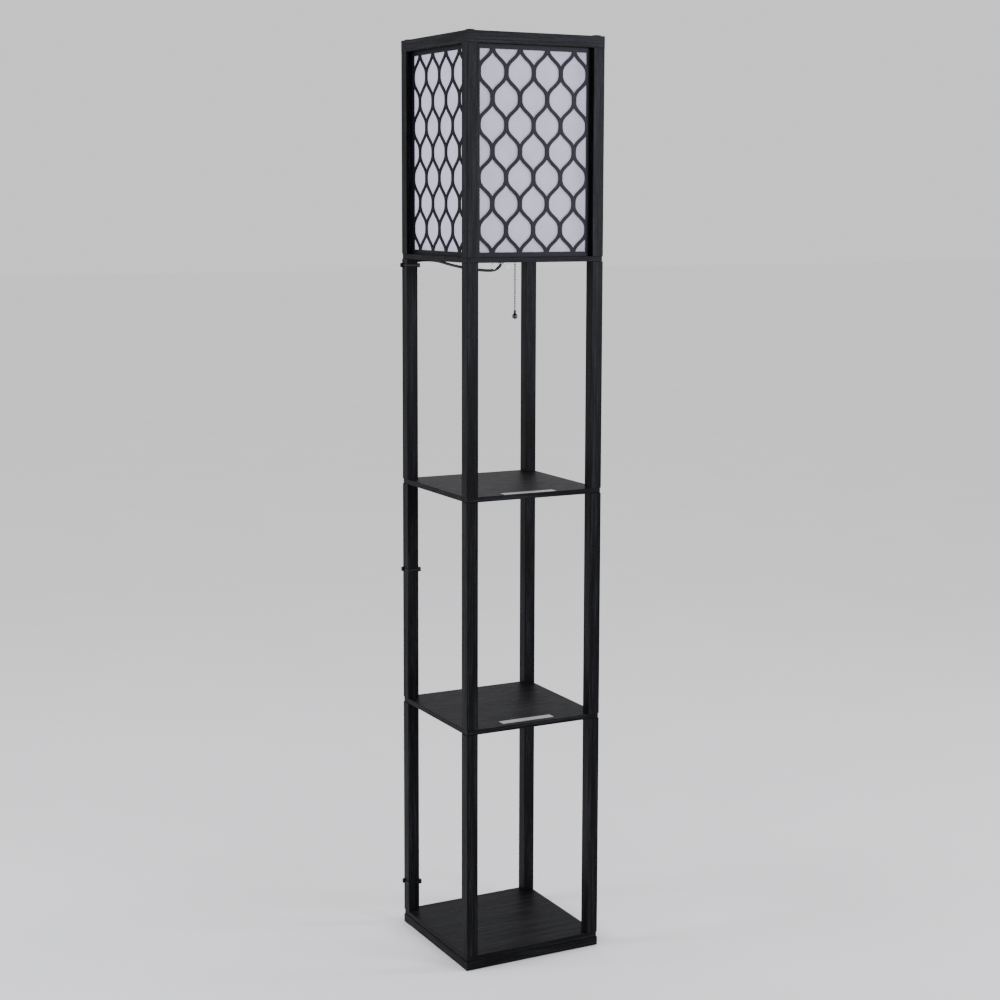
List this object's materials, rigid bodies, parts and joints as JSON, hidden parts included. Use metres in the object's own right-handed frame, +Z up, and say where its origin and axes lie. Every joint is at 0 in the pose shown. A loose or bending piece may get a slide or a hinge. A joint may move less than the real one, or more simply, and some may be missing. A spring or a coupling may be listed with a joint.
{
  "type": "shelf floor lamp",
  "caption": "Tall square column lamp: lattice shade on top, open shelves below on slim corner posts, pull chain under the shade.",
  "frame": {"origin": "on the floor under the middle of the square footprint", "axes": "+Z up, -Y the front, +X to the right seen from the front; the lead runs down the rear left post"},
  "size_m": [0.264, 0.2958, 1.6018],
  "materials": {
    "black_board": "black wood-grain foil, satin",
    "lattice": "black lacquered board, satin",
    "shade_sheet": "translucent white fabric-backed sheet",
    "black_cap": "moulded, matt",
    "beech": "turned, bare",
    "felt": "needle felt",
    "zinc_steel": "zinc plated",
    "brass": "plain",
    "holder_black": "moulded phenolic",
    "ceramic": "glazed white",
    "spring_steel": "drawn wire",
    "chain_nickel": "nickel plated",
    "chrome_ball": "polished",
    "grommet": "moulded, matt",
    "bulb_glass": "opal",
    "bulb_cap": "pressed",
    "cord_black": "PVC sheath, satin",
    "tie_black": "nylon",
    "clear_nylon": "clear, moulded",
    "plug_black": "moulded PVC",
    "plug_pins": "nickel plated",
    "label_silver": "thin satin strip, blank"
  },
  "bodies": {
    "stand": {"base_board": "black_board", "base_rail_front": "black_board", "base_rail_left": "black_board", "base_rail_rear": "black_board", "base_rail_right": "black_board", "bell_mouth": "chain_nickel", "cable_ties": "tie_black", "centre_contact": "brass", "chain_grommet": "grommet", "column_studs": "zinc_steel", "cord": "cord_black", "cord_clip": "clear_nylon", "cord_hank": "cord_black", "cord_sleeve": "clear_nylon", "cord_tail": "cord_black", "diffuser_front": "shade_sheet", "diffuser_left": "shade_sheet", "diffuser_rear": "shade_sheet", "diffuser_right": "shade_sheet", "foot_pads": "felt", "frame_screws": "zinc_steel", "hank_tie": "tie_black", "holder_cap": "holder_black", "holder_insulator": "ceramic", "holder_shell": "holder_black", "label_strips": "label_silver", "lattice_front": "lattice", "lattice_left": "lattice", "lattice_rear": "lattice", "lattice_right": "lattice", "nipple": "zinc_steel", "nipple_nut": "zinc_steel", "plug": "plug_black", "plug_pins": "plug_pins", "post_inserts": "brass", "posts_lower": "black_board", "posts_middle": "black_board", "posts_shade": "black_board", "posts_upper": "black_board", "rail_dowels": "beech", "return_spring": "spring_steel", "screw_caps": "black_cap", "screw_sleeve": "brass", "shade_board": "black_board", "shelf_lower": "black_board", "shelf_upper": "black_board", "switch_contacts": "brass", "switch_frame": "brass", "top_rail_front": "black_board", "top_rail_left": "black_board", "top_rail_rear": "black_board", "top_rail_right": "black_board"},
    "chain_top": {"chain_upper": "chain_nickel"},
    "chain_link": {"chain_swivel": "chain_nickel"},
    "chain_hanging": {"chain_lower": "chain_nickel", "pull_ball": "chrome_ball"},
    "lever": {"switch_lever": "brass"},
    "rotor": {"switch_rotor": "holder_black"},
    "bulb": {"bulb_cap": "bulb_cap", "bulb_glass": "bulb_glass"}
  },
  "joints": [
    {"name": "chain_pull", "type": "slide", "parent": "stand", "child": "chain_top", "axis": [0, 0, -1], "range_m": [0, 0.006], "stiffness_N_per_m": 300, "springref_m": -0.005},
    {"name": "chain_swing_side", "type": "hinge", "parent": "chain_top", "child": "chain_link", "pos_m": [0.028, 0, 1.2165], "axis": [0, 1, 0], "range_deg": [-30, 30]},
    {"name": "chain_swing_depth", "type": "hinge", "parent": "chain_link", "child": "chain_hanging", "pos_m": [0.028, 0, 1.2165], "axis": [1, 0, 0], "range_deg": [-30, 30]},
    {"name": "switch_lever_tilt", "type": "hinge", "parent": "stand", "child": "lever", "pos_m": [0.014, 0, 1.2522], "axis": [0, 1, 0], "range_deg": [0, 24.6]},
    {"name": "switch_rotor_turn", "type": "hinge", "parent": "stand", "child": "rotor", "pos_m": [0.014, 0, 1.2522], "axis": [0, 1, 0], "range_deg": [0, 90.1]},
    {"name": "bulb_lift", "type": "slide", "parent": "stand", "child": "bulb", "axis": [0, 0, 1], "range_m": [0, 0.34]}
  ],
  "couplings": [
    {"joint": "switch_lever_tilt", "follows": "chain_pull", "rad_per_m": 71.429},
    {"joint": "switch_rotor_turn", "follows": "chain_pull", "rad_per_m": 261.8}
  ]
}
